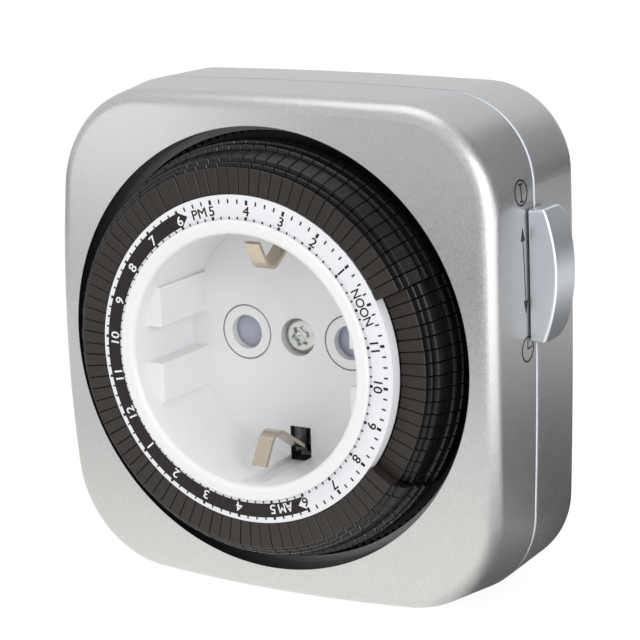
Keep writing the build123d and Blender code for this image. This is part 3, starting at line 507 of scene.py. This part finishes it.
segmentRow = drawSegmentRow()
for hour in range(24):
    look = segmentLook
    pushed = look["travel"] if hour in pushedHours else 0.0
    mesh = segmentRow.cook(f"segments{hour}", segmentMesh(), {
        "Count": 4, "Pitch": math.radians(look["pitch"]),
        "First": math.radians(hourPlace(hour + 1) + look["pitch"] / 2), "Push": pushed * mm,
        "Jitter": look["jitter"] * mm, "Seed": look["seed"] + hour, "Material": finishes["segment_black"],
    })
    addPiece(f"hour_{hour:02d}_segments", mesh, "segment_black", f"hour_{hour:02d}", [f"segments_{hour:02d}h"])
print("dial segments set")


printLook = {"offCentre": -0.25, "drop": -0.12}
tickLook = {
    # how many, middle radius, width, length and thickness
    "quarter_ticks_outer": (96, 25.03, 0.24, 0.66, 0.05),
    "hour_ticks_outer": (24, 24.99, 0.42, 0.74, 0.06),
    "quarter_ticks_inner": (96, 22.35, 0.24, 0.66, 0.05),
    "hour_ticks_inner": (24, 22.41, 0.42, 0.74, 0.06),
}


def drawTickRow():
    recipe = Recipe("tickRow", {
        "Count": "Int", "Pitch": "Float", "First": "Float", "Radius": "Float", "Depth": "Float",
        "Shift": "Float", "Drop": "Float", "Width": "Float", "Length": "Float", "Rise": "Float",
    })
    index = recipe.node("GeometryNodeInputIndex")
    angle = recipe.size("First") + recipe.size("Pitch") * index
    spot = recipe.combine(
        recipe.size("Radius") * recipe.sum("SINE", angle) + recipe.size("Shift"), recipe.size("Depth"),
        recipe.size("Radius") * recipe.sum("COSINE", angle) + recipe.size("Drop"),
    )
    measures = recipe.combine(recipe.size("Width"), recipe.size("Rise"), recipe.size("Length"))
    bar = recipe.node("GeometryNodeMeshCube", {}, {"Size": measures})
    recipe.setOut(recipe.points(recipe.size("Count"), spot), bar, recipe.combine(0.0, angle, 0.0))
    return recipe


tickRow = drawTickRow()
for name, (count, radius, width, length, rise) in tickLook.items():
    mesh = tickRow.cook(name, bpy.data.meshes.new("empty"), {
        "Count": count, "Pitch": math.radians(360 / count), "First": math.radians(fourOClock),
        "Radius": radius * mm, "Depth": (dialPlane - rise / 4) * mm, "Shift": printLook["offCentre"] * mm,
        "Drop": printLook["drop"] * mm, "Width": width * mm, "Length": length * mm, "Rise": rise * mm,
        "Material": finishes["print_black"],
    })
    addPiece(name, mesh, "print_black", "dial")

bandLook = {
    "inner": 22.72, "outer": 24.97, "rise": 0.012, "steps": 88,
    "headAngle": 3.9, "shoulderAngle": 0.5, "tipHalf": 0.01, "tailAngle": 3.4,
}


def onPrint(radius, angle, depth):
    x, y, z = onDial(radius, angle, depth)
    return (x + printLook["offCentre"] * mm, y, z + printLook["drop"] * mm)


def nightBand():
    # an arrowhead at 6 in the evening, then anticlockwise to a notched tail at 6 in the morning
    look = bandLook
    inner, outer, steps = look["inner"], look["outer"], look["steps"]
    middle = (inner + outer) / 2
    evening, morning = hourPlace(18), hourPlace(6) - 360
    end = morning + look["tailAngle"]
    stations = [
        (evening + look["headAngle"], middle - look["tipHalf"], middle + look["tipHalf"]),
        (evening + look["shoulderAngle"], inner, outer),
    ]
    stations += [(evening + (end - evening) * step / steps, inner, outer) for step in range(steps + 1)]
    low, high = -look["rise"], look["rise"]
    shape = bmesh.new()
    skinRings(shape, [
        [onPrint(near, angle, high), onPrint(near, angle, low), onPrint(far, angle, low), onPrint(far, angle, high)]
        for angle, near, far in stations
    ])
    for edge in (inner, outer):
        corners = [(edge, end), (middle, end), (edge, morning)]
        skinRings(shape, [[onPrint(radius, angle, depth) for radius, angle in corners] for depth in (low, high)])
    return closedMesh("night_band", shape)


addPiece("night_band", nightBand(), "print_black", "dial")

letterLook = {
    "radius": 23.68, "height": 1.44, "stretch": 1.12, "boldness": 0.03, "sink": 0.005, "weld": 1e-4,
    "leastPull": 0.2, "sharpest": 0.6, "dayRise": 0.012, "nightRise": 0.03,
}


def embolden(flat):
    # moves the outline of flat lettering outwards
    look = letterLook
    shape = bmesh.new()
    shape.from_mesh(flat)
    bmesh.ops.remove_doubles(shape, verts=shape.verts, dist=look["weld"])
    moves = {}
    for vertex in shape.verts:
        outwards = Vector((0, 0, 0))
        for edge in vertex.link_edges:
            if len(edge.link_faces) == 1:
                first, second = (v.co for v in edge.verts)
                normal = (second - first).cross(Vector((0, 0, 1))).normalized()
                inside = edge.link_faces[0].calc_center_median() - first
                outwards += normal * (-1 if normal.dot(inside) > 0 else 1)
        if outwards.length > look["leastPull"]:
            reach = max(look["sharpest"], outwards.length / 2)
            moves[vertex] = outwards.normalized() * look["boldness"] / reach
    for vertex, move in moves.items():
        vertex.co += move
    shape.to_mesh(flat)
    shape.free()
    return flat


def letters(words, width):
    # flat lettering about the origin, in mm; with no width given it keeps the digits' own
    holder = placeObject("words", bpy.data.curves.new("words", "FONT"))
    holder.data.body = words
    graph = bpy.context.evaluated_depsgraph_get()
    flat = bpy.data.meshes.new_from_object(holder.evaluated_get(graph))
    bpy.data.objects.remove(holder)
    xs = [v.co.x for v in flat.vertices]
    ys = [v.co.y for v in flat.vertices]
    middle = Vector(((min(xs) + max(xs)) / 2, (min(ys) + max(ys)) / 2, 0))
    tall = letterLook["height"] / (max(ys) - min(ys))
    wide = width / (max(xs) - min(xs)) if width else tall * letterLook["stretch"]
    for vertex in flat.vertices:
        place = vertex.co - middle
        vertex.co = (place.x * wide, place.y * tall, 0)
    return embolden(flat)


def thicken(shape, flat, placeOf, rise):
    # adds flat lettering to a mesh as a thin closed layer; placeOf gives each point's place
    base = bmesh.new()
    base.from_mesh(flat)
    bmesh.ops.remove_doubles(base, verts=base.verts, dist=letterLook["weld"])
    copies = {}
    for vertex in base.verts:
        copies[vertex] = [shape.verts.new(placeOf(vertex.co.x, vertex.co.y, side * rise)) for side in (-1, 1)]
    for face in base.faces:
        for side in (0, 1):
            shape.faces.new([copies[v][side] for v in face.verts])
    for edge in base.edges:
        if len(edge.link_faces) == 1:
            a, b = edge.verts
            shape.faces.new((copies[a][0], copies[b][0], copies[b][1], copies[a][1]))
    base.free()


def scaleWords(name, marks, finish, rise):
    shape = bmesh.new()
    for words, angle, width in marks:
        turn = math.radians(angle)
        across = Vector((math.cos(turn), 0, -math.sin(turn)))
        outwards = Vector((math.sin(turn), 0, math.cos(turn)))

        def placeOf(x, y, depth):
            spot = outwards * (letterLook["radius"] + y) + across * x
            height = dialPlane - letterLook["sink"] + depth
            return Vector((spot.x + printLook["offCentre"], height, spot.z + printLook["drop"])) * mm

        thicken(shape, letters(words, width), placeOf, rise)
    addPiece(name, closedMesh(name, shape), finish, "dial")


# words, place on the dial, and width where the words set their own
dayMarks = [("5", hourPlace(17), None), ("PM", hourPlace(17) - 5.65, 2.6), ("NOON", hourPlace(12), 5.7)]
dayMarks += [(str(hour), hourPlace(hour + 12), None) for hour in (1, 2, 3, 4)]
dayMarks += [(str(hour), hourPlace(hour), None) for hour in range(6, 12)]
nightMarks = [("5", hourPlace(5), None), ("AM", hourPlace(5) - 5.75, 2.6), ("12", hourPlace(0), None)]
nightMarks += [(str(hour), hourPlace(hour), None) for hour in (1, 2, 3, 4)]
nightMarks += [(str(hour), hourPlace(hour + 12), None) for hour in range(6, 12)]
scaleWords("day_figures", dayMarks, "print_black", letterLook["dayRise"])
scaleWords("night_figures", nightMarks, "print_white", letterLook["nightRise"])
print("time scale printed")


screwLook = {"around": 72, "lobes": 6, "lobe": 0.16, "root": 0.84, "sink": 0.03, "spare": 0.05}
centreScrewLook = {
    **screwLook, "headRadius": 2.7, "headHeight": 1.5, "keyRadius": 1.45, "keyDepth": 0.9,
    "shankRadius": 1.5, "thread": 0.7, "turn": 14,
}
caseScrewLook = {
    **screwLook, "headRadius": 2.6, "headHeight": 2.0, "keyRadius": 1.4, "keyDepth": 1.1,
    "shankRadius": 1.4, "thread": 1.0,
}


def lobedScrew(look, length):
    # the axis is +Z, the head's face looks up from height 0, the shank goes down
    key, deep, wavy = look["keyRadius"], look["keyDepth"], look["lobe"]
    head, tall, shank = look["headRadius"], look["headHeight"], look["shankRadius"]
    profile = [
        # radius, height and waviness of each ring, from the recess's floor out to the head's back
        (0.25 * key, -deep - 0.25, 0), (0.75 * key, -deep, 0.8 * wavy), (0.96 * key, -deep + 0.1, wavy),
        (key, -0.12, wavy), (1.06 * key, 0.0, 0.9 * wavy), (0.86 * head, 0.02, 0), (0.95 * head, -0.08, 0),
        (head, -0.3, 0), (head, -tall + 0.15, 0), (0.95 * head, -tall, 0), (shank, -tall, 0),
    ]
    height = -tall - 0.4
    while height > -length + 0.6:
        profile += [(shank, height, 0), (look["root"] * shank, height - look["thread"] / 2, 0)]
        height -= look["thread"]
    profile += [(0.8 * shank, -length + 0.3, 0), (0.5 * shank, -length, 0)]
    rings = []
    for radius, height, waviness in profile:
        ring = []
        for step in range(look["around"]):
            turn = 2 * math.pi * step / look["around"]
            reach = radius * (1 + waviness * math.cos(look["lobes"] * turn))
            ring.append((reach * math.cos(turn) * mm, reach * math.sin(turn) * mm, height * mm))
        rings.append(ring)
    shape = bmesh.new()
    skinRings(shape, rings)
    return closedMesh("screw", shape)


low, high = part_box("centre_screw")
look = centreScrewLook
mesh = lobedScrew(look, (high.y - low.y) / mm - look["spare"])
facing = Matrix.Rotation(math.radians(90), 4, "X") @ Matrix.Rotation(math.radians(look["turn"]), 4, "Z")
mesh.transform(Matrix.Translation((0, low.y + look["sink"] * mm, 0)) @ facing)
mesh.update()
addPiece("centre_screw_lobed", mesh, "screw_steel", "case", ["centre_screw"])


def drawFourCorners():
    recipe = Recipe("fourCorners", {"Across": "Float", "Up": "Float", "Depth": "Float"})
    index = recipe.node("GeometryNodeInputIndex")
    column = index % 2
    row = (index - column) / 2
    spot = recipe.combine(
        recipe.size("Across") * (column * 2 - 1), recipe.size("Depth"), recipe.size("Up") * (row * 2 - 1),
    )
    backwards = recipe.combine(math.radians(-90), 0.0, 0.0)
    recipe.setOut(recipe.points(4, spot), recipe.size("Geometry"), backwards)
    return recipe


low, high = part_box("case_screws")
look = caseScrewLook
mesh = drawFourCorners().cook("caseScrews", lobedScrew(look, (high.y - low.y) / mm - look["spare"]), {
    "Across": high.x - look["headRadius"] * mm, "Up": high.z - look["headRadius"] * mm,
    "Depth": high.y - look["sink"] * mm, "Material": finishes["screw_steel"],
})
addPiece("case_screws_lobed", mesh, "screw_steel", "case", ["case_screws"])
print("screws turned")


# marks beside the side switch; places are depth and height on the case's side, in mm
markLook = {
    "line": 0.28, "fineLine": 0.224, "rise": 0.025, "stride": 0.5, "ring": 2.05, "ringSteps": 48,
    "onPlace": (-20.5, 25.95), "stem": 1.2, "serif": 0.6, "serifPlace": 1.3,
    "arrowTop": (-20.5, 20.7), "arrowBottom": (-19.9, 7.3), "headLength": 2.1, "headWidth": 1.4,
    "headTip": 0.02, "shaftStart": 0.9,
    "clockPlace": (-19.45, 1.7), "upHand": (0, 1.6), "sideHandBack": (-0.1, 0), "sideHand": (1.5, 0.2),
}


def sideSurface(y, z, lift):
    # where the outer skin of the case lies at this depth and height, and a little off it
    shell = frame["nodes"]["front_housing"]
    place = shell.ray_cast(Vector((0.2, y * mm, z * mm)), Vector((-1, 0, 0)))[1]
    return place + Vector((lift * markLook["rise"] * mm, 0, 0))


def markStrip(shape, first, second, startWidth, endWidth=None):
    # a straight stroke laid on the case in short steps
    first, second = Vector(first), Vector(second)
    endWidth = startWidth if endWidth is None else endWidth
    along = second - first
    steps = max(1, math.ceil(along.length / markLook["stride"]))
    across = Vector((-along.y, along.x)).normalized()
    rings = []
    for step in range(steps + 1):
        share = step / steps
        middle = first + along * share
        side = across * (startWidth + (endWidth - startWidth) * share) / 2
        rings.append([
            sideSurface(*(middle + side * sign), lift) for sign, lift in ((1, -1), (1, 1), (-1, 1), (-1, -1))
        ])
    skinRings(shape, rings)


def markRing(shape, place):
    radius, inner, steps = markLook["ring"], markLook["ring"] - markLook["line"], markLook["ringSteps"]
    rings = []
    for step in range(steps):
        turn = 2 * math.pi * step / steps
        rings.append([
            sideSurface(place[0] + reach * math.cos(turn), place[1] + reach * math.sin(turn), lift)
            for reach, lift in ((inner, -1), (inner, 1), (radius, 1), (radius, -1))
        ])
    skinRings(shape, rings + [rings[0]], closeEnds=False)


def markAlwaysOn(shape):
    look = markLook
    y, z = look["onPlace"]
    markRing(shape, (y, z))
    markStrip(shape, (y, z - look["stem"]), (y, z + look["stem"]), look["line"])
    for height in (z - look["serifPlace"], z + look["serifPlace"]):
        markStrip(shape, (y - look["serif"], height), (y + look["serif"], height), look["line"])


def markSlideArrow(shape):
    look = markLook
    (topY, top), (bottomY, bottom), head = look["arrowTop"], look["arrowBottom"], look["headLength"]
    reach = head * look["shaftStart"]
    markStrip(shape, (topY, top - reach), (bottomY, bottom + reach), look["fineLine"])
    markStrip(shape, (topY, top - head), (topY, top), look["headWidth"], look["headTip"])
    markStrip(shape, (bottomY, bottom + head), (bottomY, bottom), look["headWidth"], look["headTip"])


def markTimer(shape):
    look = markLook
    place = Vector(look["clockPlace"])
    markRing(shape, place)
    markStrip(shape, place, place + Vector(look["upHand"]), look["fineLine"])
    markStrip(shape, place + Vector(look["sideHandBack"]), place + Vector(look["sideHand"]), look["fineLine"])


for name, drawMark in (
    ("mark_always_on", markAlwaysOn), ("mark_slide_arrow", markSlideArrow), ("mark_timer", markTimer),
):
    marks = bmesh.new()
    drawMark(marks)
    addPiece(name, closedMesh(name, marks), "print_black", "case")
print("side marks printed")


studio = {
    "worldStrength": 0.86, "glossStrength": 0.8, "floorHalf": 3.0, "floorShown": 0.82, "floorWhite": 1.12,
    "floorMat": (0.86, 0.86, 0.86, 1),
    # the world that the paint mirrors is dim on the right and has a pale panel in front of that
    "rightGloss": 0.22, "rightSkew": 0.3, "rightEdges": (0.38, 0.66),
    "panelGloss": 1.1, "panelSkew": 0.6, "panelEdges": (0.75, 1.05),
    # rings of light that the paint mirrors off the floor, by distance from the case's middle
    "ringPlaces": (0.04, 0.12, 0.224, 0.36, 0.6), "ringSpan": 0.8,
    "ringTints": ((1, 0.985, 0.93), (1, 0.985, 0.94), (1, 0.99, 0.97), (0.98, 0.985, 1), (0.96, 0.97, 1)),
    "rings": {
        "left": (1.25, 0.9, 1.1, 0.72, 0.3),
        "front": (1.25, 1.05, 0.5, 0.3, 0.15),
        "corner": (0.1, 1.0, 1.9, 2.3, 2.4),
        "right": (0.0, 0.08, 0.8, 0.55, 0.0),
    },
    # where each side's rings take over from those before, in degrees anticlockwise from the right
    "sides": (("front", -122, -104), ("corner", -52, -28), ("right", 2, 28), ("left", 115, 150)),
    # place, width, height and watts
    "lamps": {
        "leftLow": ((-0.85, -0.75, 0.12), 0.6, 0.5, 0.7),
        "overhead": ((-0.1, -0.15, 0.75), 0.6, 0.6, 1.0),
        "frontRight": ((0.75, -0.55, 0.3), 0.35, 0.35, 2.6),
    },
    "lampAim": (0, -0.02, 0),
}
white = (1, 1, 1, 1)


def lightWorld():
    look = studio
    world = bpy.data.worlds.new("studio")
    scene.world = world
    world.use_nodes = True
    air = Sheet(world.node_tree)
    air.tree.nodes.clear()
    seen, mirrored = air.rays()
    right, back = air.axes(air.node("ShaderNodeTexCoord", out="Object"))[:2]
    plain = look["worldStrength"]
    gloss = air.ease(right + back * look["rightSkew"], *look["rightEdges"], look["glossStrength"] - plain,
                     look["rightGloss"] - plain)
    panel = air.ease(right - back * look["panelSkew"], *look["panelEdges"], high=look["panelGloss"])
    level = seen * (1 - plain) + mirrored * (gloss + panel) + plain
    glow = air.node("ShaderNodeBackground", {}, {"Color": white, "Strength": level})
    air.node("ShaderNodeOutputWorld", {}, {"Surface": glow})


def floorFinish():
    # the camera sees near white, the paint sees rings of light, and the rest a pale mat
    look = studio
    finish = Finish("floor")
    seen, mirrored = finish.rays()
    x, y = finish.axes(finish.place)[:2]
    away = finish.sum("SQRT", x * x + y * y) / look["ringSpan"]
    heading = finish.sum("ARCTAN2", y, x)

    def glowRings(side):
        stops = [
            (place / look["ringSpan"], tuple(level * share for share in tint) + (1,))
            for place, tint, level in zip(look["ringPlaces"], look["ringTints"], look["rings"][side])
        ]
        return finish.node("ShaderNodeValToRGB", {"stops": stops}, {0: away})

    shine = glowRings("left")
    for side, start, end in look["sides"]:
        reached = finish.ease(heading, math.radians(start), math.radians(end))
        shine = finish.colours(reached, shine, glowRings(side))
    mat = finish.node("ShaderNodeBsdfDiffuse", {}, {"Color": look["floorMat"]})
    plain = finish.node("ShaderNodeEmission", {}, {"Color": white, "Strength": look["floorWhite"]})
    sheen = finish.node("ShaderNodeEmission", {}, {"Color": shine, "Strength": 1.0})
    mixed = finish.node("ShaderNodeMixShader", {}, {0: seen * look["floorShown"], 1: mat, 2: plain})
    return finish.close(finish.node("ShaderNodeMixShader", {}, {0: mirrored, 1: mixed, 2: sheen}))


lightWorld()
half, lowest = studio["floorHalf"], cadBox[0][2]
floorMesh = bpy.data.meshes.new("floor")
corners = [(-half, -half, lowest), (half, -half, lowest), (half, half, lowest), (-half, half, lowest)]
floorMesh.from_pydata(corners, [], [(0, 1, 2, 3)])
floorMesh.materials.append(floorFinish())
floor = placeObject("floor", floorMesh)

for name, (place, width, height, watts) in studio["lamps"].items():
    lamp = bpy.data.lights.new(name, "AREA")
    lamp.shape = "ELLIPSE"
    lamp.size = width
    lamp.size_y = height
    lamp.energy = watts
    stand = placeObject(name, lamp)
    stand.location = place
    aim = Vector(studio["lampAim"]) - Vector(place)
    stand.rotation_euler = aim.to_track_quat("-Z", "Y").to_euler()

cameraLook = {
    "place": (0.18170, -0.32855, 0.08804), "lens": 129.34, "sensor": 36, "nearest": 0.01,
    "right": (0.86895, 0.49419, -0.02662), "up": (-0.09236, 0.21477, 0.97229), "back": (0.48621, -0.84241, 0.23227),
}
camera = placeObject("camera", bpy.data.cameras.new("camera"))
camera.data.sensor_fit = "HORIZONTAL"
camera.data.sensor_width = cameraLook["sensor"]
camera.data.lens = cameraLook["lens"]
camera.data.clip_start = cameraLook["nearest"]
axes = Matrix((cameraLook["right"], cameraLook["up"], cameraLook["back"])).transposed().to_4x4()
camera.matrix_world = Matrix.Translation(cameraLook["place"]) @ axes
scene.camera = camera
scene.view_settings.view_transform = "Standard"
print("studio lit")
